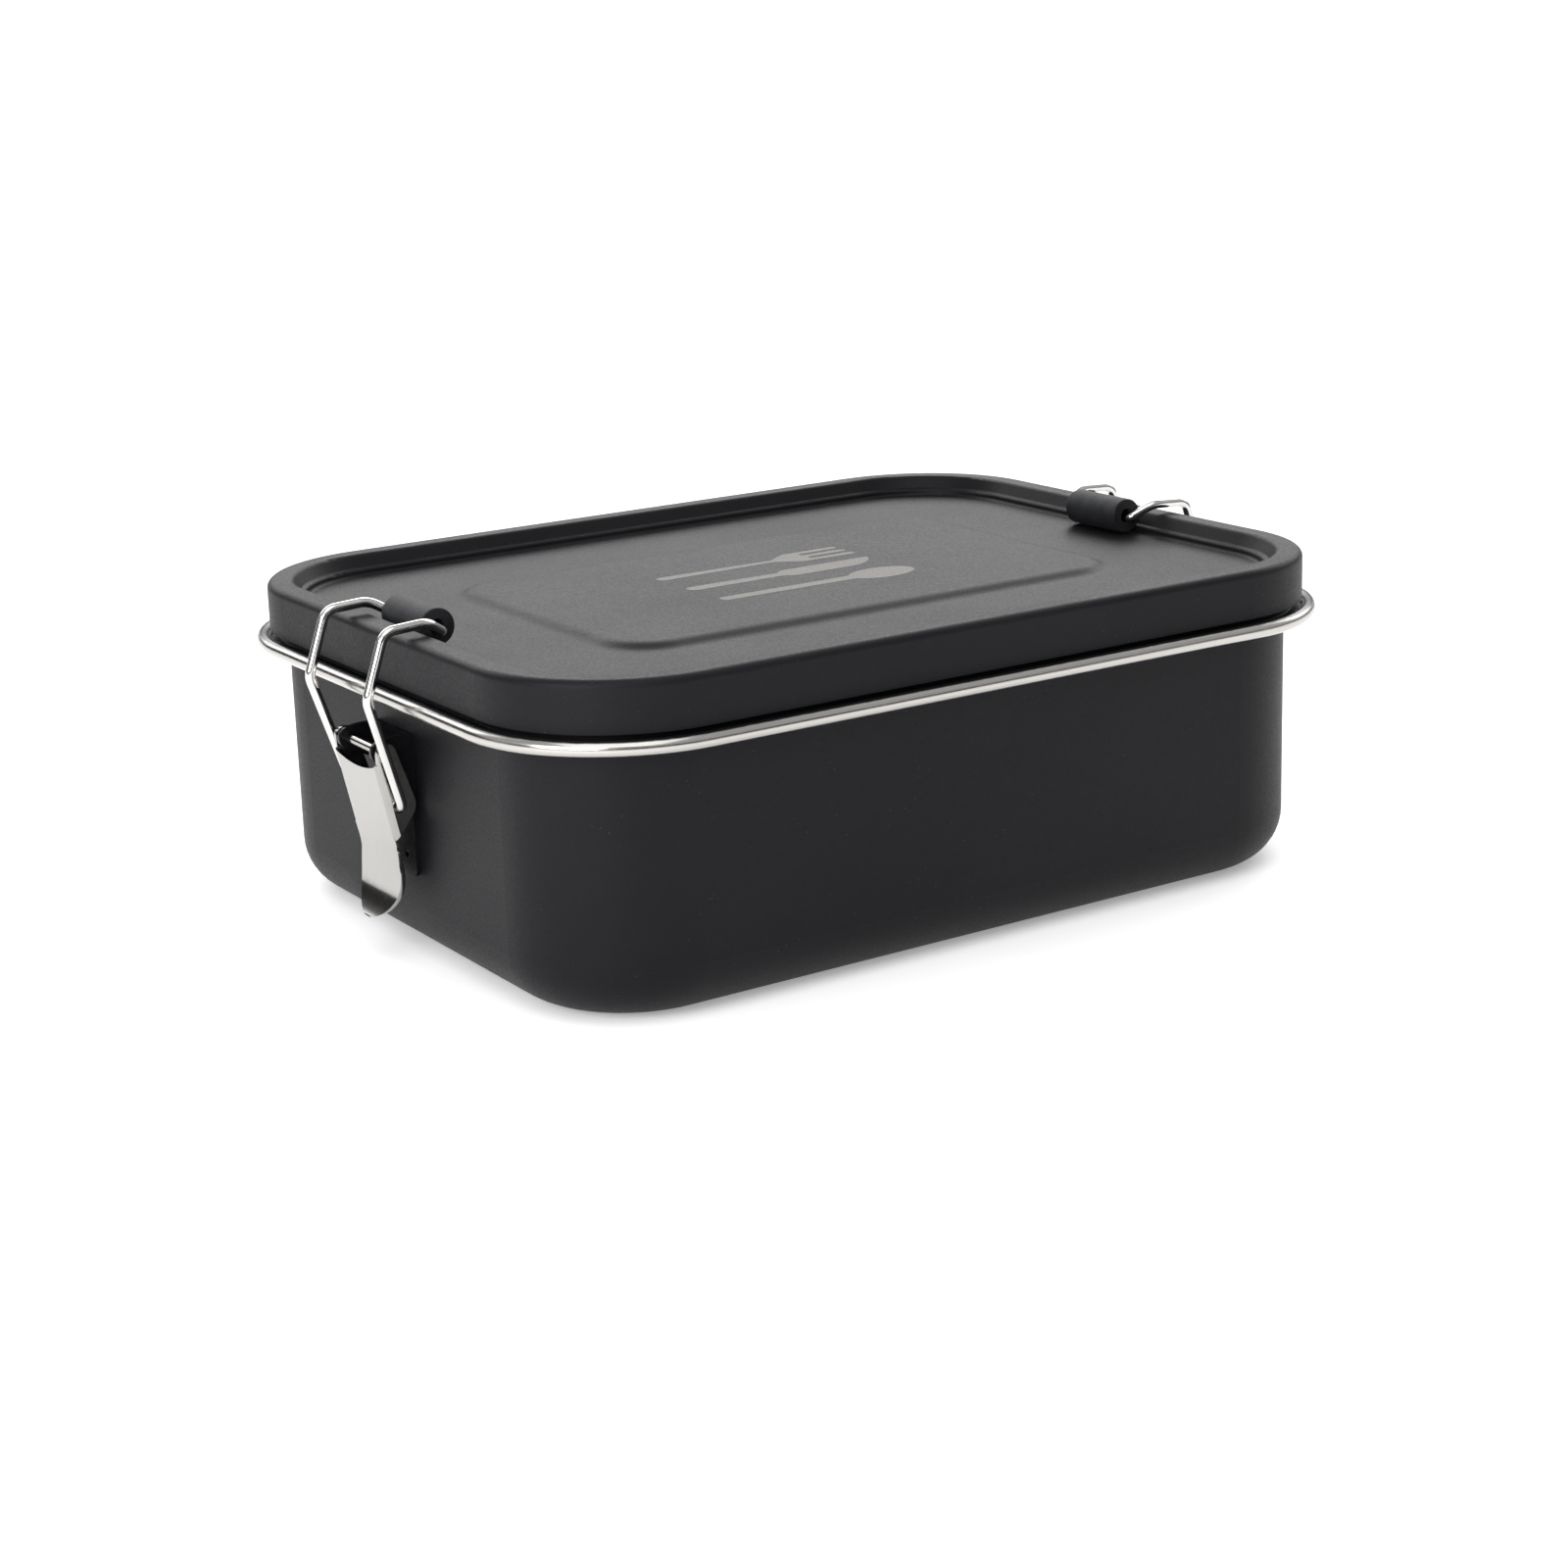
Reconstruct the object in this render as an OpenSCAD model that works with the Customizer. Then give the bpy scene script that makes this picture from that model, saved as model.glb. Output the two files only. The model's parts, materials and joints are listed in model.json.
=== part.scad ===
// Metal lunch box: a deep-drawn coated tub, a pressed lid with a sealing ring, and a wire clamp
// latch on each short side. +X runs along the box, +Z is up, and the origin is at the centre of
// the base. Every size is in millimetres.

/* [Box] */
// Length over the rolled rim
rim_l = 190; // [180:1:220]
// Width over the rolled rim
rim_w = 146.4; // [140:0.2:170]
// Corner radius of the rolled rim
rim_r = 32.2; // [31:0.1:36]
// Thickness of the steel sheet
sheet = 0.6; // [0.4:0.1:0.7]

/* [Tub] */
// Distance from the rolled rim in to the tub's wall
tub_inset = 6.4; // [6:0.1:8]
// Outer radius between the base and the walls
base_r = 10.6; // [6:0.1:14]
// Height of the rolled rim's centre
bead_z = 52.8; // [50:0.1:53.4]
// Radius of the rolled rim
bead_r = 1.5; // [1.1:0.05:1.5]
// Height of the folded lip that the seal sits on
lip_z = 60.9; // [60:0.1:61]

/* [Lid] */
// Distance from the rolled rim in to the lid's skirt
lid_inset = 2.8; // [2.5:0.1:3.2]
// Height of the closed box
box_h = 64.5; // [64.2:0.1:65.5]
// Lower edge of the lid's skirt
skirt_z = 54.9; // [54.6:0.1:56]
// Width of the raised ridge round the lid
ridge_w = 6.5; // [6.3:0.1:6.5]
// Depth of the panel below the ridge
panel_drop = 4.15; // [4.1:0.05:4.3]
// Length of the raised middle field at its foot
field_l = 121; // [90:1:130]
// Width of the raised middle field at its foot
field_w = 77; // [50:1:90]
// Height of the raised middle field
field_h = 1.3; // [0.8:0.1:1.6]

/* [Latches] */
// Height of the lever's pivot pin
pivot_z = 42.4; // [41:0.1:43]
// Distance from the tub's wall to the pivot pin
pivot_out = 6.4; // [6:0.1:6.8]
// Height of the hole that holds the bail wire
bail_z = 32.1; // [31:0.1:33]
// Distance from the tub's wall to the bail wire's hole
bail_out = 4.5; // [4.2:0.1:4.8]
// Diameter of the bail wire
wire_d = 2.0; // [1.8:0.1:2.1]
// Half width of the lever over its flanges
lever_half = 9.2; // [9:0.1:9.4]
// Outer diameter of the silicone sleeve
sleeve_d = 7.3; // [6.8:0.1:7.3]
// Length of the silicone sleeve
sleeve_l = 16.4; // [14:0.2:16.8]

/* [Hidden] */
$fn = 96;

coat = [0.14, 0.14, 0.155];
steel = [0.78, 0.77, 0.74];
silicone = [0.16, 0.165, 0.18];

// Tub section, measured outward from the wall's outer face
tub_l = rim_l - 2 * tub_inset;
tub_w = rim_w - 2 * tub_inset;
tub_r = rim_r - tub_inset;
fold_gap = 0.6;                      // between the wall and the lip's outer leg
fold_r = fold_gap / 2 + sheet;       // outer radius of the folded lip
flange_r = 1.2;                      // bend from the lip's leg to the flange
flange_top = bead_z;                 // upper face of the flange
bead_x = tub_inset - bead_r;         // centre of the rolled rim

// Lid section, measured outward from the skirt's outer face
lid_l = rim_l - 2 * lid_inset;
lid_w = rim_w - 2 * lid_inset;
lid_r = rim_r - lid_inset;
crest_r = 1.5;                       // outer edge of the ridge
crest_flat = 3;                      // flat top of the ridge
crest_in_r = 1;                      // inner edge of the ridge
panel_z = box_h - panel_drop;
ledge_z = panel_z + 1.55;            // small step at the foot of the ridge
ledge_in = 0.4;
ledge_r = 0.8;
foot_r = 0.8;                        // bend from the step to the panel
crest_bend = [-crest_r - crest_flat, box_h - crest_in_r];
ledge_bend = [-ridge_w - ledge_in, ledge_z + ledge_in];
ridge_rise = crest_bend - ledge_bend;
ridge_lean = atan2(ridge_rise[1], ridge_rise[0])
    + asin((crest_in_r + ledge_in) / norm(ridge_rise));
panel_x = ledge_bend[0] - ledge_r - foot_r;
field_r = 13;                        // corner of the raised field
slope_w = 4.8;                       // run of the raised field's slope
slope_lap = 0.3;                     // how far the slope's ends run into the flat sheet
gasket_gap = 0.1;                    // seal to metal, all round

// Latch parts, on the -X side
wall_x = -tub_l / 2;
plate_t = 0.9;
plate_half = 7.3;
plate_low = 16.8;
plate_corner = 1.8;
ear_low = 37;                        // foot of the bracket's ears
ear_r = 2.2;                         // round end of an ear
ear_crown_r = 1.6;                   // rounding where an ear's end meets its upper edge
ear_crown = [2, 0.9];                // centre of that rounding, from the pivot
weld_y = 3.7;                        // spot-weld dimples in the plate
weld_z = [20.8, 41.6];
weld_r = 1.5;
weld_depth = 0.25;
pin_r = 1;
pin_head_r = 1.8;
pin_head_t = 0.5;
run_clear = 0.05;                    // radial clearance of the lever on its pin
side_clear = 0.1;
lever_t = 0.9;
lever_top = 40.4;                    // corners of the lever's upper edge
lever_dip = 1.6;                     // how far that edge dips in the middle
lever_tilt = 12;                     // lean of the lever's face
lever_bend = 1.3;                    // outer radius where the face turns into its flanges
flange_end = 25.2;                   // lower end of the flanges
face_gap = 2.7;                      // from the pivot to the lever's face
eye_r = 1.95;                        // flange round the pivot pin
bulge_r = 3.4;                       // flange round the bail's hole
bail_hole_r = 1.3;
curl_z = 24.4;                       // where the finger tab starts to curl out
curl_r = 26;
hook_z = 17;                         // where the tab curls more tightly
hook_r = 13;
tab_half = 8.4;
tab_low = 9.1;
waist_half = 7.9;
waist_z = 20.5;                      // narrowest place between the tab and the flanges
shoulder_z = 25.6;                   // where the strip meets the flanges
shoulder_half = lever_half - 0.6 * lever_bend;
sleeve_bore = 2.9;
sleeve_z = panel_z + sleeve_d / 2 + 0.2;
sleeve_x = wall_x + 6.6;
sleeve_shift = 1.0;                  // how far the sleeve has slid along the wire

pivot = [wall_x - pivot_out, pivot_z];
ear_top = pivot_z + ear_crown[1] + ear_crown_r;
bail_eye = [wall_x - bail_out, bail_z];
face_x = pivot[0] - face_gap / cos(lever_tilt);  // lever's face at the pivot's height

// ---------------------------------------------------------------- helpers

// Carries a section round a rounded rectangle: the section's x runs outward from the line.
module swept(l, w, r) {
    for (side = [0 : 3]) {
        reach = side % 2 == 0 ? l : w;
        run = side % 2 == 0 ? w : l;
        rotate([0, 0, 90 * side]) {
            translate([reach / 2, run / 2 - r, 0])
                rotate([90, 0, 0]) linear_extrude(run - 2 * r) children();
            translate([reach / 2 - r, run / 2 - r, 0])
                rotate_extrude(angle = 90) translate([r, 0]) children();
        }
    }
}

// A flat rounded rectangle with true corner arcs.
module rounded_rect(l, w, r) {
    square([l, w - 2 * r], center = true);
    square([l - 2 * r, w], center = true);
    for (x = [-1, 1], y = [-1, 1])
        translate([x * (l / 2 - r), y * (w / 2 - r)]) circle(r);
}

function at_angle(r, a) = r * [cos(a), sin(a)];

// A bend of sheet round a centre, from one angle to another that is up to 100 degrees on.
module bend(centre, outer, from, to, thick = sheet) {
    translate(centre) intersection() {
        difference() {
            circle(outer);
            circle(outer - thick);
        }
        polygon(concat([[0, 0]],
                       [for (k = [0 : 2]) at_angle(3 * outer, from + (to - from) * k / 2)]));
    }
}

// A straight strip of sheet between two points of its face, with its back on the side a.
module strip(p, q, a) {
    back = at_angle(sheet, a);
    polygon([p, q, q + back, p + back]);
}

// Point where a line from p touches a circle round c, on the side that s names.
function touch(p, c, r, s) =
    let (d = p - c, far = norm(d), a = atan2(d[1], d[0]) + s * acos(r / far))
    c + r * [cos(a), sin(a)];

// Two round ends and the straight sides that touch both.
module round_link(c1, r1, c2, r2) {
    d = c2 - c1;
    base = atan2(d[1], d[0]);
    open = acos((r1 - r2) / norm(d));
    translate(c1) circle(r1);
    translate(c2) circle(r2);
    polygon([for (k = [[c1, r1, 1], [c2, r2, 1], [c2, r2, -1], [c1, r1, -1]])
        k[0] + k[1] * [cos(base + k[2] * open), sin(base + k[2] * open)]]);
}

// ---------------------------------------------------------------- tub

module tub_section() {
    bend([-base_r, base_r], base_r, -90, 0);
    translate([-sheet, base_r]) square([sheet, lip_z - fold_r - base_r]);
    bend([fold_gap / 2, lip_z - fold_r], fold_r, 0, 90);
    bend([fold_gap / 2, lip_z - fold_r], fold_r, 90, 180);
    leg_low = flange_top - sheet + flange_r;
    translate([fold_gap, leg_low]) square([sheet, lip_z - fold_r - leg_low]);
    bend([fold_gap + flange_r, leg_low], flange_r, 180, 270);
    difference() {
        translate([fold_gap + flange_r, flange_top - sheet])
            square([bead_x - fold_gap - flange_r, sheet]);
        translate([bead_x, bead_z]) circle(bead_r);
    }
}

module tub() {
    color(coat) {
        swept(tub_l, tub_w, tub_r) tub_section();
        linear_extrude(sheet)
            rounded_rect(tub_l - 2 * base_r, tub_w - 2 * base_r, tub_r - base_r);
    }
}

module rim_bead() {
    color(steel) swept(tub_l, tub_w, tub_r)
        translate([bead_x, bead_z]) difference() {
            circle(bead_r);
            circle(bead_r - sheet);
        }
}

// ---------------------------------------------------------------- lid

module lid_section() {
    translate([-sheet, skirt_z]) square([sheet, box_h - crest_r - skirt_z]);
    bend([-crest_r, box_h - crest_r], crest_r, 0, 90);
    translate([crest_bend[0], box_h - sheet]) square([crest_flat, sheet]);
    bend(crest_bend, crest_in_r, 90, 90 + ridge_lean);
    strip(crest_bend + at_angle(crest_in_r, ridge_lean + 90),
          ledge_bend + at_angle(ledge_in, ridge_lean - 90), ridge_lean - 90);
    bend(ledge_bend, ledge_in + sheet, -90, ridge_lean - 90);
    bend([ledge_bend[0], ledge_z - ledge_r], ledge_r, 90, 180);
    foot_x = ledge_bend[0] - ledge_r;
    foot_z = panel_z + foot_r;
    if (ledge_z - ledge_r > foot_z)
        translate([foot_x, foot_z]) square([sheet, ledge_z - ledge_r - foot_z]);
    bend([foot_x - foot_r, foot_z], foot_r + sheet, -90, 0);
}

// Sloped border of the raised field, from its foot at x = 0 to its top: two equal bends.
module slope_section() {
    turn = 2 * atan(field_h / slope_w);
    r = slope_w / 2 / sin(turn);
    translate([0, panel_z - sheet]) square([slope_lap, sheet]);
    bend([0, panel_z + r], r + sheet, -90 - turn, -90);
    bend([-slope_w, panel_z + field_h - r], r, 90 - turn, 90);
    translate([-slope_w - slope_lap, panel_z + field_h - sheet]) square([slope_lap, sheet]);
}

module lid() {
    color(coat) {
        swept(lid_l, lid_w, lid_r) lid_section();
        translate([0, 0, panel_z - sheet]) linear_extrude(sheet) difference() {
            rounded_rect(lid_l + 2 * panel_x, lid_w + 2 * panel_x, lid_r + panel_x);
            rounded_rect(field_l, field_w, field_r);
        }
        swept(field_l, field_w, field_r) slope_section();
        translate([0, 0, panel_z + field_h - sheet]) linear_extrude(sheet)
            rounded_rect(field_l - 2 * slope_w, field_w - 2 * slope_w, field_r - slope_w);
    }
}

module lid_gasket() {
    outer = -sheet - gasket_gap;
    low = lip_z + gasket_gap;
    top = box_h - sheet - gasket_gap;
    cut = 0.8;                       // chamfer that clears the ridge's outer bend
    inner = -ridge_w + sheet + 2 * gasket_gap;
    shoulder = top - (crest_bend[0] - inner) * tan(ridge_lean);
    color(silicone) swept(lid_l, lid_w, lid_r)
        polygon([[inner, low], [outer, low], [outer, top - cut], [outer - cut, top],
                 [crest_bend[0], top], [inner, shoulder]]);
}

// ---------------------------------------------------------------- latch

// Point of the lever's face at height z, in x and z.
function on_face(z) = [face_x + (pivot_z - z) * tan(lever_tilt), z];

// Side outline of an ear, in x and z.
module ear_outline() {
    crown = pivot + ear_crown;
    round_link(pivot, ear_r, crown, ear_crown_r);
    polygon([pivot, touch([wall_x, ear_low], pivot, ear_r, -1), [wall_x, ear_low],
             [wall_x, ear_top], [crown[0], ear_top], crown]);
}

// Extrudes an outline drawn in x and z along Y, centred.
module across(w) {
    rotate([90, 0, 0]) linear_extrude(w, center = true) children();
}

module bracket() {
    difference() {
        union() {
            translate([wall_x, 0, 0]) rotate([0, -90, 0]) linear_extrude(plate_t) {
                translate([plate_low + plate_corner, -plate_half])
                    square([ear_top - plate_low - plate_corner, 2 * plate_half]);
                translate([plate_low, -plate_half + plate_corner])
                    square([plate_corner, 2 * (plate_half - plate_corner)]);
                for (y = [-1, 1])
                    translate([plate_low + plate_corner, y * (plate_half - plate_corner)])
                        circle(plate_corner);
            }
            for (y = [-1, 1])
                translate([0, y * (plate_half - plate_t / 2), 0]) across(plate_t) ear_outline();
        }
        translate([pivot[0], 0, pivot[1]]) rotate([90, 0, 0])
            cylinder(r = pin_r, h = 3 * lever_half, center = true);
        for (y = [-1, 1], z = weld_z)
            translate([wall_x - plate_t - weld_r + weld_depth, y * weld_y, z]) sphere(weld_r);
    }
}

module pivot_pin() {
    head_y = lever_half + side_clear;
    translate([pivot[0], 0, pivot[1]]) rotate([90, 0, 0]) {
        cylinder(r = pin_r, h = 2 * head_y, center = true);
        for (s = [-1, 1])
            translate([0, 0, s * (head_y + pin_head_t / 2)])
                cylinder(r = pin_head_r, h = pin_head_t, center = true);
    }
}

// Side outline of a lever flange, in x and z: round the pivot and round the bail's hole.
module flange_outline() {
    end = on_face(flange_end);
    corner = on_face(lever_top);
    round_link(pivot, eye_r, bail_eye, bulge_r);
    polygon([touch(corner, pivot, eye_r, 1), corner, end, touch(end, bail_eye, bulge_r, 1),
             bail_eye, pivot]);
}

// The face and its two flanges, bent from one strip.
module lever_channel() {
    intersection() {
        translate([face_x, 0, pivot[1]]) rotate([0, -lever_tilt, 0])
            translate([0, 0, -25]) linear_extrude(32) difference() {
                union() {
                    translate([lever_bend, -lever_half]) square([12, 2 * lever_half]);
                    translate([0, -lever_half + lever_bend])
                        square([lever_bend, 2 * (lever_half - lever_bend)]);
                    for (y = [-1, 1])
                        translate([lever_bend, y * (lever_half - lever_bend)])
                            circle(lever_bend);
                }
                translate([lever_bend, -lever_half + lever_t])
                    square([12.1, 2 * (lever_half - lever_t)]);
                translate([lever_t, -lever_half + lever_bend])
                    square([lever_bend, 2 * (lever_half - lever_bend)]);
                for (y = [-1, 1])
                    translate([lever_bend, y * (lever_half - lever_bend)])
                        circle(lever_bend - lever_t);
            }
        across(3 * lever_half) flange_outline();
    }
}

// Half width of the strip at height z: it swells from the waist to the tab and to the flanges.
function swell(t) = (1 - cos(180 * min(max(t, 0), 1))) / 2;
function tab_edge(z) = waist_half
    + (tab_half - waist_half) * swell((waist_z - z) / (waist_z - tab_low - tab_half))
    + (shoulder_half - waist_half) * swell((z - waist_z) / (shoulder_z - waist_z));

// The finger tab: a strip that curls away from the tub, cut to a round end.
module lever_tab() {
    centre = on_face(curl_z) - at_angle(curl_r, lever_tilt);
    hook_from = asin((hook_z - centre[1]) / curl_r);
    widest_z = tab_low + tab_half;
    edge_z = [for (k = [0 : 16]) widest_z + (shoulder_z - widest_z) * k / 16];
    intersection() {
        union() {
            across(3 * lever_half) {
                bend(centre, curl_r + lever_t, hook_from - 0.5, lever_tilt, lever_t, $fn = 240);
                bend(centre + at_angle(curl_r - hook_r, hook_from), hook_r + lever_t,
                     hook_from - 60, hook_from, lever_t, $fn = 240);
            }
            translate([face_x, 0, pivot[1]]) rotate([0, -lever_tilt, 0])
                translate([0, -lever_half, (curl_z - 0.5 - pivot[1]) / cos(lever_tilt)])
                    cube([lever_t, 2 * lever_half, 4]);
        }
        translate([-150, 0, 0]) rotate([90, 0, 90]) linear_extrude(100) {
            translate([0, widest_z]) circle(tab_half);
            for (s = [-1, 1])
                polygon(concat([[0, widest_z]], [for (z = edge_z) [s * tab_edge(z), z]],
                               [[0, shoulder_z]]));
            translate([-waist_half, shoulder_z - 0.1]) square([2 * waist_half, 4]);
        }
    }
}

module lever() {
    dip_r = (pow(lever_half, 2) + pow(lever_dip, 2)) / (2 * lever_dip);
    difference() {
        union() {
            lever_channel();
            lever_tab();
        }
        // The dipped upper edge of the face leaves the flanges' eyes standing.
        translate([wall_x - 30, 0, lever_top - lever_dip + dip_r]) rotate([0, 90, 0])
            intersection() {
                cylinder(r = dip_r, h = 40, $fn = 240);
                translate([-60, -lever_half + lever_t, 0])
                    cube([120, 2 * (lever_half - lever_t), 40]);
            }
        translate([pivot[0], 0, pivot[1]]) rotate([90, 0, 0])
            cylinder(r = pin_r + run_clear, h = 3 * lever_half, center = true);
        translate([bail_eye[0], 0, bail_eye[1]]) rotate([90, 0, 0])
            cylinder(r = bail_hole_r, h = 3 * lever_half, center = true);
    }
}

// ---------------------------------------------------------------- bail

// Corner points of half the bail, from its hooked end to the middle of the sleeve.
hook = [[bail_eye[0], 6.7, bail_eye[1]],
        [bail_eye[0], 10.75, bail_eye[1]],
        [wall_x - 11.1, 12.45, bead_z + 1.1],
        [wall_x - 6.9, 12.45, box_h + 1.6],
        [wall_x + 2, 12.3, box_h + 2.1],
        [sleeve_x - 0.3, 10, sleeve_z - 0.3]];
function flip(p) = [p[0], -p[1], p[2]];
corners = concat(hook, [for (i = [len(hook) - 1 : -1 : 0]) flip(hook[i])]);
bends = [0, 1.6, 4, 3, 5, 1.6];
function bend_at(i) = bends[min(i, len(corners) - 1 - i)];

function unit(v) = v / norm(v);
// Points of the round bend at corner i, from one tangent point to the other.
function bend_points(i, steps) =
    let (a = unit(corners[i - 1] - corners[i]), b = unit(corners[i + 1] - corners[i]),
         half = acos(a * b) / 2, r = bend_at(i), away = r / tan(half),
         mid = corners[i] + unit(a + b) * r / sin(half), turn = 180 - 2 * half,
         u = unit(corners[i] + a * away - mid), v = -unit(a - (a * u) * u))
    [for (k = [0 : steps]) mid + r * (u * cos(turn * k / steps) + v * sin(turn * k / steps))];

wire_path = concat([corners[0]],
                   [for (i = [1 : len(corners) - 2]) each bend_points(i, 4)],
                   [corners[len(corners) - 1]]);

// Direction of the wire at point i.
function heading(i) =
    unit(wire_path[min(i + 1, len(wire_path) - 1)] - wire_path[max(i - 1, 0)]);
// A side direction carried along from ring to ring, so that the tube never twists.
function sides(i, last) =
    let (t = heading(i), s = unit(last - (last * t) * t))
    i == len(wire_path) - 1 ? [s] : concat([s], sides(i + 1, s));

module bail() {
    facets = 12;
    across_dirs = sides(0, [1, 0, 0]);
    count = len(wire_path);
    points = [for (i = [0 : count - 1], k = [0 : facets - 1])
        let (s = across_dirs[i], t = heading(i), q = cross(t, s), a = 360 * k / facets)
        wire_path[i] + wire_d / 2 * (s * cos(a) + q * sin(a))];
    walls = [for (i = [0 : count - 2], k = [0 : facets - 1])
        let (a = i * facets + k, b = i * facets + (k + 1) % facets)
        each [[a, a + facets, b], [b, a + facets, b + facets]]];
    first = [for (k = [0 : facets - 1]) k];
    last = [for (k = [facets - 1 : -1 : 0]) (count - 1) * facets + k];
    polyhedron(points, concat(walls, [first, last]), convexity = 8);
}

module sleeve() {
    translate([sleeve_x, sleeve_shift, sleeve_z]) rotate([90, 0, 0]) difference() {
        cylinder(d = sleeve_d, h = sleeve_l, center = true);
        cylinder(d = sleeve_bore, h = sleeve_l + 1, center = true);
    }
}

module on_right() {
    rotate([0, 0, 180]) children();
}

module left_bracket() { color(coat) bracket(); }
module left_pivot_pin() { color(steel) pivot_pin(); }
module left_lever() { color(steel) lever(); }
module left_bail() { color(steel) bail(); }
module left_sleeve() { color(silicone) sleeve(); }
module right_bracket() { color(coat) on_right() bracket(); }
module right_pivot_pin() { color(steel) on_right() pivot_pin(); }
module right_lever() { color(steel) on_right() lever(); }
module right_bail() { color(steel) on_right() bail(); }
module right_sleeve() { color(silicone) on_right() sleeve(); }

tub();
rim_bead();
lid();
lid_gasket();
left_bracket();
left_pivot_pin();
left_lever();
left_bail();
left_sleeve();
right_bracket();
right_pivot_pin();
right_lever();
right_bail();
right_sleeve();
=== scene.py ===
import json
import math

import bmesh
import bpy
from mathutils import Matrix, Vector


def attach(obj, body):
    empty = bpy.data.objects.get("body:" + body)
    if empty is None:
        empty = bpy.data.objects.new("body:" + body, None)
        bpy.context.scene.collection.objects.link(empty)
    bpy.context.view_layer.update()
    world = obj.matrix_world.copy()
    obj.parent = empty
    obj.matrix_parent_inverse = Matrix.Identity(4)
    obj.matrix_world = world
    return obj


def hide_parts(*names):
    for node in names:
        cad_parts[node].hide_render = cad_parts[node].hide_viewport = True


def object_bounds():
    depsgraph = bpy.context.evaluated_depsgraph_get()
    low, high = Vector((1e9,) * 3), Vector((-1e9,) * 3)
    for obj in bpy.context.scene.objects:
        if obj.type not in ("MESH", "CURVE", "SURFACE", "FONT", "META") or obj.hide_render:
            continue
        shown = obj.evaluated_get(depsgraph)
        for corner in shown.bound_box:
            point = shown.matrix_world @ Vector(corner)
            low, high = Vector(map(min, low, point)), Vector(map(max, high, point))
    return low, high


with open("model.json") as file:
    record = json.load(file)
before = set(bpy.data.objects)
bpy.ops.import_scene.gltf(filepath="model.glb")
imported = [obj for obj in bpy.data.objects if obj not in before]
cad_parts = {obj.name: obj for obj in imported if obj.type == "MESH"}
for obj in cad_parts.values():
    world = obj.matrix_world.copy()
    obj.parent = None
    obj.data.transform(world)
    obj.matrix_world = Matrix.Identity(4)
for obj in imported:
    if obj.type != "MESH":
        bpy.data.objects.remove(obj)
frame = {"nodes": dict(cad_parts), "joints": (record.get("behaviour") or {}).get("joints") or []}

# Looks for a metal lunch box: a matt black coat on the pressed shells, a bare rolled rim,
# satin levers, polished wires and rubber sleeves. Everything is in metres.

MM = 0.001
SIDES = {"left": -1, "right": 1}     # which way each latch faces along X
cad_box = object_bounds()

# ------------------------------------------------------------------ view

VIEW_AZIMUTH = math.radians(-33.17)
VIEW_ELEVATION = math.radians(14.75)
VIEW_ROLL = math.radians(-1.77)
VIEW_DISTANCE = 0.6015
VIEW_HEIGHT = 0.030
LENS_MM = 67.29
LENS_SHIFT = (-0.0036, -0.0378)


def make_camera():
    """The camera at the photograph's angle, aimed close to the middle of the box."""
    a, e, r = VIEW_AZIMUTH, VIEW_ELEVATION, VIEW_ROLL
    back = Vector((math.sin(a) * math.cos(e), -math.cos(a) * math.cos(e), math.sin(e)))
    level = Vector((math.cos(a), math.sin(a), 0))
    upright = back.cross(level)
    right = level * math.cos(r) + upright * math.sin(r)
    up = upright * math.cos(r) - level * math.sin(r)
    data = bpy.data.cameras.new("camera")
    data.lens = LENS_MM
    data.sensor_width = 36
    data.shift_x, data.shift_y = LENS_SHIFT
    data.clip_start, data.clip_end = 0.01, 50
    camera = bpy.data.objects.new("camera", data)
    turn = Matrix((right, up, back)).transposed()
    camera.matrix_world = Matrix.Translation(
        Vector((0, 0, VIEW_HEIGHT)) + back * VIEW_DISTANCE) @ turn.to_4x4()
    bpy.context.scene.collection.objects.link(camera)
    bpy.context.scene.camera = camera


# ------------------------------------------------------------------ shader helpers

def add(tree, kind, settings=(), **inputs):
    """Adds a shader node, sets its properties, and fills or links its inputs by name."""
    made = tree.nodes.new(kind)
    for name, value in dict(settings).items():
        setattr(made, name, value)
    for name, value in inputs.items():
        plug(tree, made.inputs[name.replace("_", " ")], value)
    return made


def plug(tree, socket, value):
    """Links a socket if the value is another socket, and sets it otherwise."""
    if isinstance(value, bpy.types.NodeSocket):
        tree.links.new(value, socket)
    else:
        socket.default_value = value


def maths(tree, operation, *values):
    """One Math node over one, two or three values, and its result."""
    made = tree.nodes.new("ShaderNodeMath")
    made.operation = operation
    for socket, value in zip(made.inputs, values):
        plug(tree, socket, value)
    return made.outputs[0]


def span(tree, value, low, high, to_low, to_high):
    """Takes value from low..high to to_low..to_high, smoothly and clamped."""
    made = add(tree, "ShaderNodeMapRange", {"interpolation_type": "SMOOTHSTEP"})
    for socket, number in zip(made.inputs, (value, low, high, to_low, to_high)):
        plug(tree, socket, number)
    return made.outputs[0]


def blend_colours(tree, share, first, second):
    """Two colours mixed by share, which is 0 for the first and 1 for the second."""
    made = add(tree, "ShaderNodeMix", {"data_type": "RGBA"})
    plug(tree, made.inputs[0], share)
    plug(tree, made.inputs[6], first)
    plug(tree, made.inputs[7], second)
    return made.outputs[2]


def noise(tree, place, scale, detail=2.0, rough=0.5):
    """Fractal noise with about `scale` lumps a metre."""
    return add(tree, "ShaderNodeTexNoise", Vector=place, Scale=scale, Detail=detail,
               Roughness=rough).outputs["Fac"]


def stretched(tree, place, x, y, z):
    """Coordinates scaled along each axis, for grain that runs one way."""
    return add(tree, "ShaderNodeMapping", {"vector_type": "POINT"}, Vector=place,
               Scale=(x, y, z)).outputs[0]


def bump(tree, height, depth, strength=1.0):
    """A normal from a height of 0 to 1 that stands for `depth` metres."""
    return add(tree, "ShaderNodeBump", Height=height, Distance=depth,
               Strength=strength).outputs[0]


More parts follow.
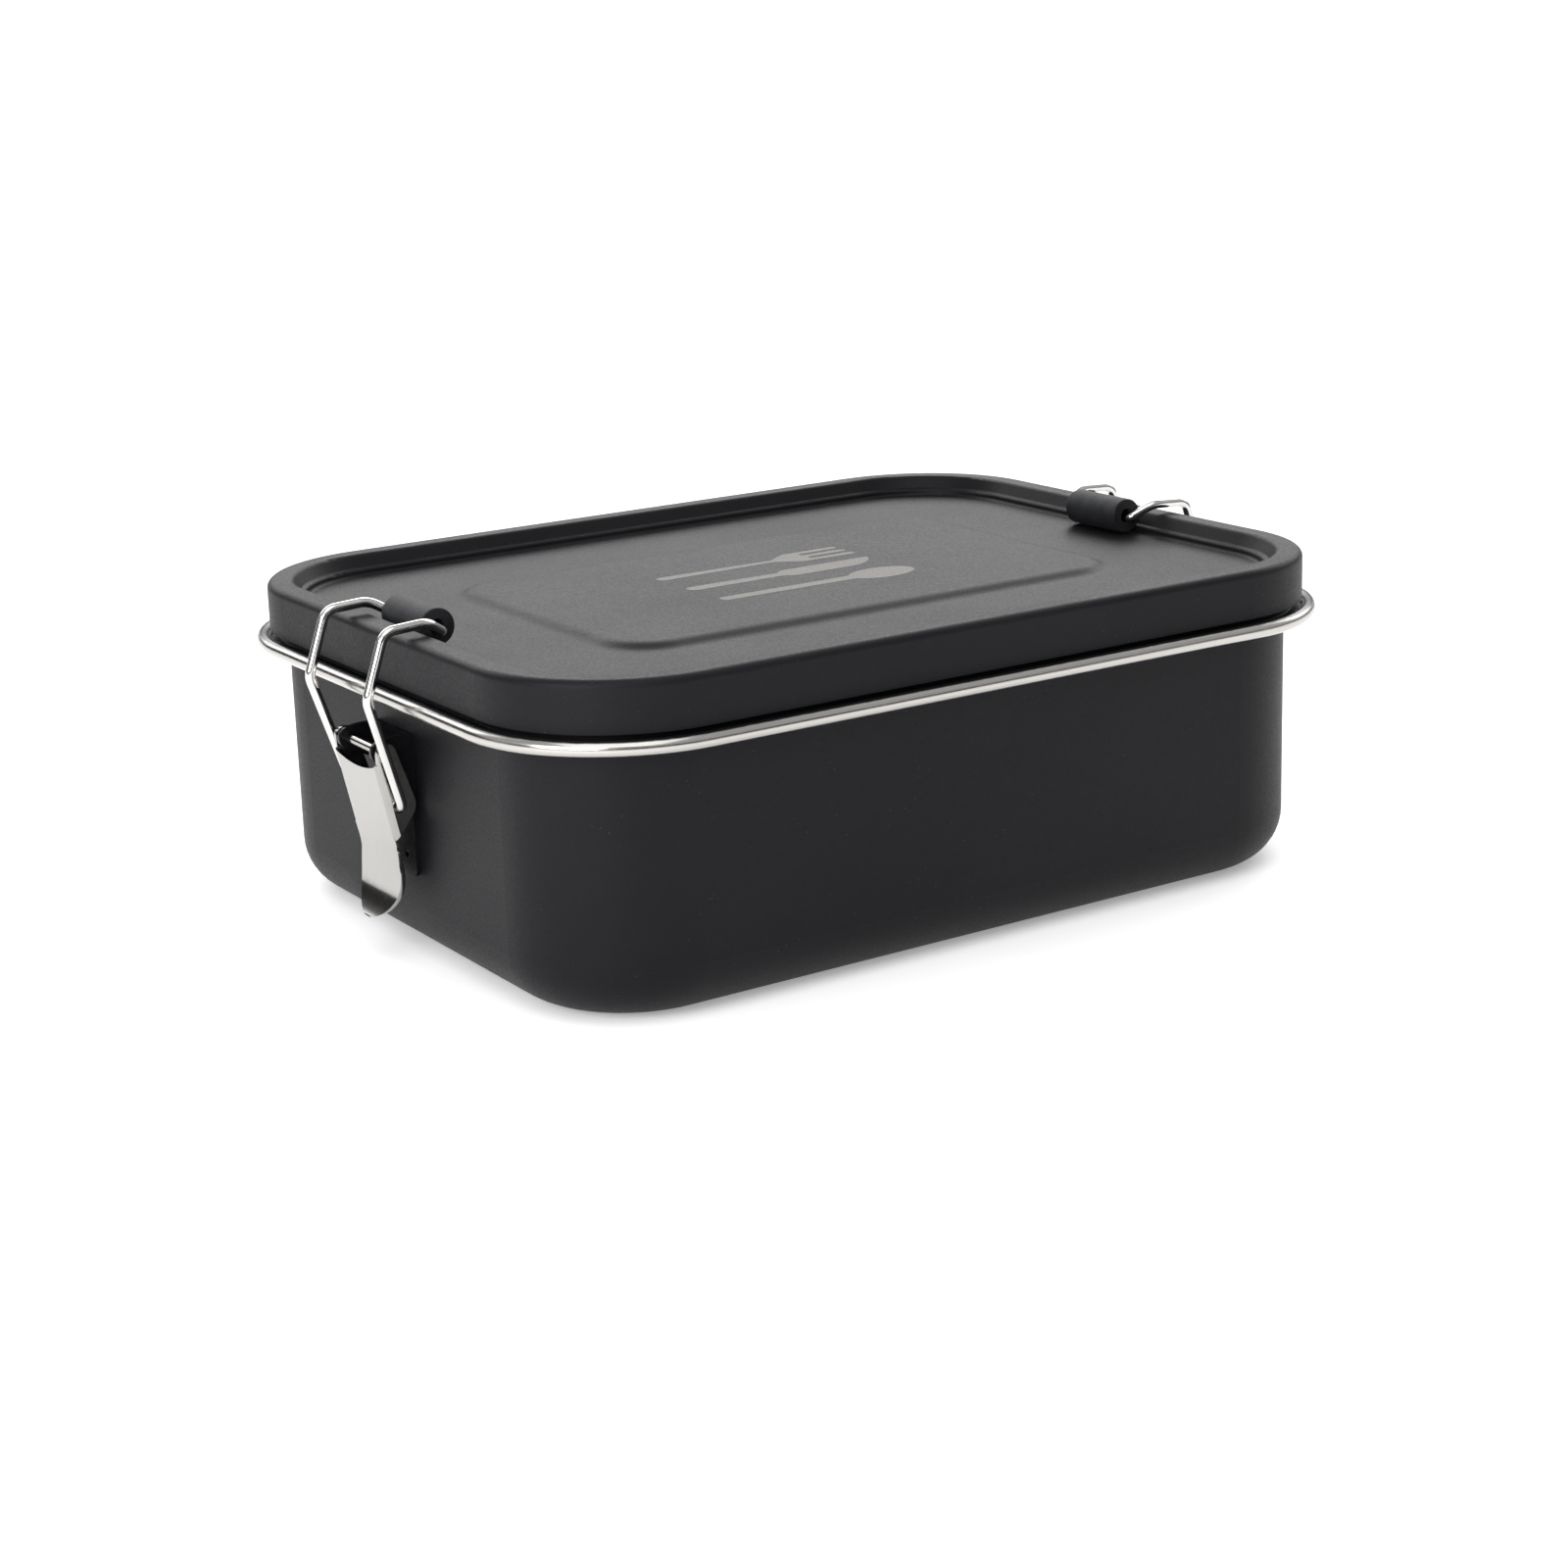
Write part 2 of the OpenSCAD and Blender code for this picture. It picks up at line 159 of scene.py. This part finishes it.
def begin(name):
    """A new material, with its node tree, its shader and the object's own coordinates."""
    material = bpy.data.materials.new(name)
    material.use_nodes = True
    tree = material.node_tree
    shader = tree.nodes["Principled BSDF"]
    place = add(tree, "ShaderNodeTexCoord").outputs["Object"]
    return material, tree, shader, place


# ------------------------------------------------------------------ materials

def coat_material(name="matt_black_coat", roughness=0.49, uneven=0.05, grain_depth=0.00003):
    """Baked black coat: fine orange-peel grain, faint clouding and sparse pale dust."""
    material, tree, shader, place = begin(name)
    grain = noise(tree, place, 2100, 2, 0.55)
    fine = noise(tree, place, 6000, 2, 0.6)
    cloud = noise(tree, place, 26, 3)
    speck = add(tree, "ShaderNodeTexVoronoi", {"feature": "F1"}, Vector=place,
                Scale=700).outputs["Distance"]
    dust = maths(tree, "MULTIPLY", span(tree, speck, 0.05, 0.11, 1, 0),
                 span(tree, noise(tree, place, 150, 2), 0.5, 0.62, 0, 1))
    base = blend_colours(tree, span(tree, cloud, 0.35, 0.65, 0, 1),
                         (0.0042, 0.0042, 0.0052, 1), (0.0058, 0.0058, 0.0070, 1))
    base = blend_colours(tree, maths(tree, "MULTIPLY", dust, 0.35), base,
                         (0.09, 0.09, 0.092, 1))
    plug(tree, shader.inputs["Base Color"], base)
    spread = maths(tree, "ADD", span(tree, grain, 0.3, 0.7, -uneven, uneven),
                   span(tree, cloud, 0.3, 0.7, -0.015, 0.025))
    plug(tree, shader.inputs["Roughness"], maths(tree, "ADD", spread, roughness))
    shader.inputs["Specular IOR Level"].default_value = 0.17
    shader.inputs["Specular Tint"].default_value = (0.96, 0.96, 1.0, 1)
    height = maths(tree, "ADD", maths(tree, "MULTIPLY", grain, 0.8),
                   maths(tree, "MULTIPLY", fine, 0.2))
    plug(tree, shader.inputs["Normal"], bump(tree, height, grain_depth, 0.7))
    return material


def steel_material(name, lines_per_metre, dark, light, rough_low, rough_high, grain_depth):
    """Bare steel, with grain that is fine across the way the metal was worked."""
    material, tree, shader, place = begin(name)
    lines = noise(tree, stretched(tree, place, *lines_per_metre), 1.0, 2, 0.5)
    scuff = noise(tree, place, 380, 3, 0.55)
    plug(tree, shader.inputs["Base Color"],
         blend_colours(tree, span(tree, lines, 0.25, 0.75, 0, 1), dark, light))
    shader.inputs["Metallic"].default_value = 1.0
    rough = maths(tree, "ADD", span(tree, lines, 0.25, 0.75, rough_low, rough_high),
                  span(tree, scuff, 0.5, 0.75, 0, 0.05))
    plug(tree, shader.inputs["Roughness"], rough)
    plug(tree, shader.inputs["Normal"], bump(tree, lines, grain_depth, 0.35))
    return material


def rim_material():
    """Bare rolled steel, with fine lines along the rim; its upward-facing upper edge is painted
    black, partly for the black coat and partly as painted shade in the groove under the lid's
    skirt.
    """
    material = steel_material("bare_steel_rim", (40, 40, 7000), (0.46, 0.445, 0.42, 1),
                              (0.54, 0.525, 0.50, 1), 0.17, 0.23, 0.000002)
    tree = material.node_tree
    shader = tree.nodes["Principled BSDF"]
    metal = shader.inputs["Base Color"].links[0].from_socket
    spot = add(tree, "ShaderNodeTexCoord").outputs
    upward = add(tree, "ShaderNodeSeparateXYZ", Vector=spot["Normal"]).outputs["Z"]
    ragged = maths(tree, "MULTIPLY", noise(tree, spot["Object"], 500, 3), 0.10)
    # Painted shade: faces that point up turn black, partly the black coat and partly the shade
    # in the groove under the lid's skirt.
    coat_and_painted_shade = span(tree, maths(tree, "ADD", upward, ragged), 0.80, 0.95, 0, 1)
    plug(tree, shader.inputs["Base Color"],
         blend_colours(tree, coat_and_painted_shade, metal, (0.006, 0.006, 0.007, 1)))
    plug(tree, shader.inputs["Metallic"], maths(tree, "SUBTRACT", 1.0, coat_and_painted_shade))
    return material


def lever_material():
    """Satin stainless strip, with a fine grain down the lever."""
    return steel_material("satin_steel", (300, 9000, 300), (0.345, 0.338, 0.321, 1),
                          (0.385, 0.378, 0.362, 1), 0.10, 0.14, 0.0000003)


def wire_material():
    """Polished spring wire, with faint drawing lines."""
    return steel_material("polished_wire", (500, 500, 90), (0.60, 0.59, 0.575, 1),
                          (0.66, 0.65, 0.635, 1), 0.08, 0.11, 0.0000002)


def rubber_material(name, tone):
    """Matt silicone: a soft sheen, a fine moulded texture and a little lint."""
    material, tree, shader, place = begin(name)
    skin = noise(tree, place, 3200, 3, 0.6)
    patch = noise(tree, place, 240, 3)
    speck = add(tree, "ShaderNodeTexVoronoi", {"feature": "F1"}, Vector=place,
                Scale=1000).outputs["Distance"]
    lint = span(tree, speck, 0.05, 0.13, 0.5, 0)
    dark = tuple(c * 0.8 for c in tone) + (1,)
    light = tuple(c * 1.25 for c in tone) + (1,)
    base = blend_colours(tree, span(tree, patch, 0.35, 0.65, 0, 1), dark, light)
    base = blend_colours(tree, lint, base, (0.09, 0.09, 0.095, 1))
    plug(tree, shader.inputs["Base Color"], base)
    plug(tree, shader.inputs["Roughness"], span(tree, skin, 0.3, 0.7, 0.50, 0.64))
    shader.inputs["Specular IOR Level"].default_value = 0.20
    shader.inputs["Sheen Weight"].default_value = 0.02
    shader.inputs["Sheen Roughness"].default_value = 0.4
    plug(tree, shader.inputs["Normal"], bump(tree, skin, 0.00002, 0.5))
    return material


def etched_material():
    """Where the coat is etched away: frosted warm steel with a fine raster."""
    material, tree, shader, place = begin("etched_steel")
    raster = noise(tree, stretched(tree, place, 700, 9000, 700), 1.0, 2)
    frost = noise(tree, place, 2400, 3)
    base = blend_colours(tree, span(tree, raster, 0.3, 0.7, 0, 1),
                         (0.090, 0.085, 0.077, 1), (0.140, 0.132, 0.121, 1))
    plug(tree, shader.inputs["Base Color"], base)
    shader.inputs["Metallic"].default_value = 0.7
    plug(tree, shader.inputs["Roughness"], span(tree, frost, 0.3, 0.7, 0.45, 0.62))
    plug(tree, shader.inputs["Normal"], bump(tree, frost, 0.00002, 0.5))
    return material


FLOOR_GLOW = 0.30                    # beside the box
FLOOR_GLOW_FAR = 0.60                # from 2 m away


def floor_material():
    """Pale matt sweep with a barely visible grain, lit brighter towards its far edges."""
    material, tree, shader, place = begin("pale_floor")
    mottle = noise(tree, place, 40, 3)
    base = blend_colours(tree, mottle, (0.90, 0.90, 0.905, 1), (0.92, 0.92, 0.925, 1))
    plug(tree, shader.inputs["Base Color"], base)
    shader.inputs["Roughness"].default_value = 0.9
    shader.inputs["Specular IOR Level"].default_value = 0.1
    away = add(tree, "ShaderNodeVectorMath", {"operation": "LENGTH"}, Vector=place)
    shader.inputs["Emission Color"].default_value = (1, 1, 1, 1)
    plug(tree, shader.inputs["Emission Strength"],
         span(tree, away.outputs["Value"], 0.3, 2.0, FLOOR_GLOW, FLOOR_GLOW_FAR))
    return material


# ------------------------------------------------------------------ pieces

def new_piece(name, mesh_data, material, body, slot, *stands_for):
    """Links a finished mesh as a piece that rides on a body and replaces CAD nodes."""
    piece = bpy.data.objects.new(name, mesh_data)
    bpy.context.scene.collection.objects.link(piece)
    mesh_data.materials.clear()
    mesh_data.materials.append(material)
    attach(piece, body)
    if stands_for:
        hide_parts(*stands_for)
    return piece


SAME_SPOT = 1e-6                     # vertices closer than this are one
SAME_PLANE = math.radians(0.6)       # faces that turn less than this are merged
CUT_EDGE = math.radians(35)          # edges that turn more than this are rounded
HARD_EDGE = math.radians(50)         # edges that turn more than this are shaded hard


def softened(node, width, material, body, slot):
    """A copy of a CAD node whose cut edges are rounded by `width`, standing for it."""
    work = bmesh.new()
    work.from_mesh(frame["nodes"][node].data)
    bmesh.ops.remove_doubles(work, verts=work.verts, dist=SAME_SPOT)
    bmesh.ops.dissolve_limit(work, angle_limit=SAME_PLANE, verts=work.verts,
                             edges=work.edges)
    sharp = [e for e in work.edges
             if len(e.link_faces) == 2 and e.calc_face_angle() > CUT_EDGE]
    bmesh.ops.bevel(work, geom=sharp, offset=width, offset_type="OFFSET", segments=2,
                    profile=0.5, affect="EDGES", clamp_overlap=True)
    mesh_data = bpy.data.meshes.new(node + "_skin")
    work.to_mesh(mesh_data)
    work.free()
    mesh_data.polygons.foreach_set("use_smooth", [True] * len(mesh_data.polygons))
    mesh_data.set_sharp_from_angle(angle=HARD_EDGE)
    piece = new_piece(node + "_skin", mesh_data, material, body, slot, node)
    weight = piece.modifiers.new("weighted_normals", "WEIGHTED_NORMAL")
    weight.keep_sharp = True
    return piece


WIRE_R = 0.97 * MM
# Corners of half the wire, from the hole in the lever to the sleeve: outward along X, along Y
# and up from the bail's hinge, with the radius of each bend.
WIRE_CORNERS = [((0.0, 6.7, 0.0), 0.0), ((0.0, 10.75, 0.0), 1.6), ((6.6, 12.45, 21.8), 4.0),
                ((2.4, 12.45, 34.0), 3.0), ((-6.5, 12.3, 34.5), 5.0),
                ((-10.8, 10.0, 31.8), 1.6)]


def rounded_path(corners, steps=14):
    """Points along straight runs joined by round bends; corners are (point, radius)."""
    path = [corners[0][0]]
    for (before, _), (point, radius), (after, _) in zip(corners, corners[1:], corners[2:]):
        a, b = (before - point).normalized(), (after - point).normalized()
        half = a.angle(b) / 2
        centre = point + (a + b).normalized() * radius / math.sin(half)
        start = point + a * radius / math.tan(half) - centre
        axis = start.cross(b)
        turn = math.pi - 2 * half
        path += [centre + Matrix.Rotation(turn * k / steps, 3, axis) @ start
                 for k in range(steps + 1)]
    return path + [corners[-1][0]]


def tube(path, radius, sides=28):
    """A closed tube round a path."""
    work = bmesh.new()
    side = Vector((1, 0, 0))
    rings = []
    count = len(path)
    for i, point in enumerate(path):
        ahead = (path[min(i + 1, count - 1)] - path[max(i - 1, 0)]).normalized()
        side = (side - ahead * side.dot(ahead)).normalized()
        other = ahead.cross(side)
        rings.append([work.verts.new(point + radius * (
            side * math.cos(2 * math.pi * k / sides)
            + other * math.sin(2 * math.pi * k / sides))) for k in range(sides)])
    for low, high in zip(rings, rings[1:]):
        for k in range(sides):
            n = (k + 1) % sides
            work.faces.new((low[k], low[n], high[n], high[k]))
    work.faces.new(list(reversed(rings[0])))
    work.faces.new(rings[-1])
    mesh_data = bpy.data.meshes.new("wire")
    bmesh.ops.recalc_face_normals(work, faces=work.faces)
    work.to_mesh(mesh_data)
    work.free()
    mesh_data.polygons.foreach_set("use_smooth", [True] * len(mesh_data.polygons))
    mesh_data.set_sharp_from_angle(angle=HARD_EDGE)
    return mesh_data


def make_wire(side, material):
    """One bail wire, hooked in its lever and run through its sleeve."""
    hinge = next(j for j in frame["joints"] if j["name"] == side + "_bail_hinge")
    eye = Vector(hinge["pos_m"])
    out = SIDES[side]

    def corner(spot, radius, flip):
        x, y, z = spot
        return eye + Vector((out * x, flip * y, z)) * MM, radius * MM

    half = [corner(spot, radius, 1) for spot, radius in WIRE_CORNERS]
    other = [corner(spot, radius, -1) for spot, radius in reversed(WIRE_CORNERS)]
    wire = tube(rounded_path(half + other), WIRE_R)
    return new_piece(side + "_bail_wire", wire, material, side + "_bail", "wire_steel",
                     side + "_bail")


# ------------------------------------------------------------------ etched pictogram

def arc(cx, cy, r, start, end, steps=10):
    """Points on a circle between two angles in degrees."""
    turn = [math.radians(start + (end - start) * k / steps) for k in range(steps + 1)]
    return [(cx + r * math.cos(t), cy + r * math.sin(t)) for t in turn]


def spoon_outline():
    """A spoon lying along X, 46 mm long: a round-ended handle and an oval bowl."""
    handle = arc(-21.5, 0, 1.5, 90, 270)
    bowl = [(15.5 + 7.5 * math.cos(t), 4.6 * math.sin(t))
            for t in (math.radians(-160 + 320 * k / 32) for k in range(33))]
    return handle + bowl


def fork_outline():
    """A fork lying along X, with three tines."""
    handle = arc(-21.5, 0, 1.5, 90, 270)
    half, tine, root, tip = 4.4, 1.9, 13.5, 22.0
    gap = (2 * half - 3 * tine) / 2
    comb = [(5.0, -0.9)] + arc(11.0, -half + 3.5, 3.5, 235, 270, 5)
    for k in range(3):
        low = -half + k * (tine + gap)
        comb += arc(tip, low + tine / 2, tine / 2, -90, 90, 6)
        if k < 2:
            comb += arc(root, low + tine + gap / 2, gap / 2, 270, 90, 6)
    return handle + comb + arc(11.0, half - 3.5, 3.5, 90, 125, 5) + [(5.0, 0.9)]


def knife_outline():
    """A table knife lying along X, with a straight back and a curved edge."""
    handle = arc(-21.5, 0, 1.7, 90, 270)
    blade = [(-1.0, -1.5), (1.0, -2.9)] + arc(14.0, 6.1, 9.0, 270, 340, 10)
    return handle + blade + [(21.0, 3.1), (1.0, 3.1), (-1.0, 1.5)]


ETCH_T = 0.03 * MM
ETCH_PITCH = 12.0


def make_pictogram(material):
    """Fork, knife and spoon etched in the middle of the lid's raised field."""
    top = lid_field_height()
    work = bmesh.new()
    for row, outline in enumerate((spoon_outline(), knife_outline(), fork_outline())):
        y = (row - 1) * ETCH_PITCH
        ring = [work.verts.new((px * MM, (py + y) * MM, top)) for px, py in outline]
        face = work.faces.new(ring)
        raised = bmesh.ops.extrude_face_region(work, geom=[face])["geom"]
        moved = [v for v in raised if isinstance(v, bmesh.types.BMVert)]
        bmesh.ops.translate(work, verts=moved, vec=(0, 0, ETCH_T))
    bmesh.ops.recalc_face_normals(work, faces=work.faces)
    mesh_data = bpy.data.meshes.new("lid_pictogram")
    work.to_mesh(mesh_data)
    work.free()
    new_piece("lid_pictogram", mesh_data, material, "lid", "bare_rim")


FIELD_HALF = (57 * MM, 35 * MM)      # a little past the raised field's flat top


def lid_field_height():
    """Height of the lid's raised field."""
    spots = [v.co for v in frame["nodes"]["lid"].data.vertices]
    return max(p.z for p in spots if abs(p.x) < FIELD_HALF[0] and abs(p.y) < FIELD_HALF[1])


# ------------------------------------------------------------------ studio

def make_floor():
    """A wide pale floor under the box."""
    half = 30.0
    corners = [(-half, -half, 0), (half, -half, 0), (half, half, 0), (-half, half, 0)]
    mesh_data = bpy.data.meshes.new("floor")
    mesh_data.from_pydata(corners, [], [(0, 1, 2, 3)])
    mesh_data.materials.append(floor_material())
    floor = bpy.data.objects.new("floor", mesh_data)
    floor.location.z = cad_box[0].z - 0.0001
    bpy.context.scene.collection.objects.link(floor)


def soft_light(name, place, aim, width, height, power):
    """A rectangular softbox."""
    data = bpy.data.lights.new(name, "AREA")
    data.shape = "RECTANGLE"
    data.size, data.size_y = width, height
    data.energy = power
    light = bpy.data.objects.new(name, data)
    light.location = place
    light.rotation_mode = "QUATERNION"
    light.rotation_quaternion = (Vector(aim) - Vector(place)).to_track_quat("-Z", "Y")
    bpy.context.scene.collection.objects.link(light)


BEHIND = (0.53, 0.81)                # ways on the horizon, seen from the box
LEFT_BACK = (-0.56, 0.83)
FRONT = (-0.53, -0.81)
WALL_GLOW = 3.8                      # the white wall behind the box
FLAG_SHARE = 0.15                    # light that a dark flag lets through


def facing(tree, way, x, y):
    """How far a direction points towards (x, y) on the horizon, from -1 to 1."""
    made = add(tree, "ShaderNodeVectorMath", {"operation": "DOT_PRODUCT"})
    plug(tree, made.inputs[0], way)
    plug(tree, made.inputs[1], Vector((x, y, 0)).normalized())
    return made.outputs["Value"]


def make_world():
    """Studio walls: white behind the box, dark flags low down at the left and at the front."""
    world = bpy.data.worlds.new("studio")
    bpy.context.scene.world = world
    world.use_nodes = True
    tree = world.node_tree
    sky = tree.nodes["Background"]
    way = add(tree, "ShaderNodeTexCoord").outputs["Generated"]
    height = add(tree, "ShaderNodeSeparateXYZ", Vector=way).outputs["Z"]
    behind = span(tree, facing(tree, way, *BEHIND), 0.20, 0.75, 0.0, 1.0)
    left_back = span(tree, facing(tree, way, *LEFT_BACK), 0.90, 0.95, 0, 1)
    front = span(tree, facing(tree, way, *FRONT), 0.1, 0.5, 0, 1)
    bank = maths(tree, "MULTIPLY", span(tree, height, 0.16, 0.44, 0, 1),
                 span(tree, height, 0.60, 0.85, 1, 0))
    tone = maths(tree, "ADD", span(tree, height, 0.0, 0.5, 0.30, 0.55),
                 maths(tree, "MULTIPLY", maths(tree, "MULTIPLY", behind, bank), WALL_GLOW))
    high_flag = span(tree, height, 0.40, 0.50, 1, 0)
    flags = maths(tree, "MAXIMUM", maths(tree, "MULTIPLY", high_flag, left_back),
                  maths(tree, "MULTIPLY", span(tree, height, 0.28, 0.36, 1, 0), front))
    tone = maths(tree, "MULTIPLY", tone, span(tree, flags, 0, 1, 1, FLAG_SHARE))
    plug(tree, sky.inputs["Strength"], tone)
    sky.inputs["Color"].default_value = (1, 1, 1, 1)


def make_lights():
    """A wide softbox overhead towards the front, and a small one close by on the left."""
    soft_light("overhead", (-0.35, -0.45, 1.15), (0, 0, 0), 1.2, 1.2, 6.5)
    soft_light("left", (-0.47, -0.22, 0.21), (-0.22, -0.08, 0), 0.35, 0.25, 1.5)


def make_studio():
    make_world()
    make_lights()
    make_floor()
    bpy.context.scene.view_settings.view_transform = "Standard"


# ------------------------------------------------------------------ building

def dress(node, material):
    """Gives a CAD node that is shown as it is its material."""
    piece = frame["nodes"][node]
    piece.data.materials.clear()
    piece.data.materials.append(material)


def build():
    coat = coat_material()
    bracket_coat = coat_material("glossy_black_coat", 0.22, 0.01, 0.0000002)
    rubber = rubber_material("black_silicone", (0.016, 0.0165, 0.0185))
    satin, wire = lever_material(), wire_material()
    dress("tub", coat)
    dress("lid", coat)
    dress("rim_bead", rim_material())
    dress("lid_gasket", rubber_material("seal_silicone", (0.03, 0.03, 0.032)))
    for side in SIDES:
        softened(side + "_bracket", 0.12 * MM, bracket_coat, "tub", "coat")
        softened(side + "_pivot_pin", 0.10 * MM, satin, "tub", "lever_steel")
        softened(side + "_lever", 0.12 * MM, satin, side + "_lever", "lever_steel")
        softened(side + "_sleeve", 0.35 * MM, rubber, side + "_bail", "silicone")
        make_wire(side, wire)
    make_pictogram(etched_material())


make_camera()
make_studio()
build()
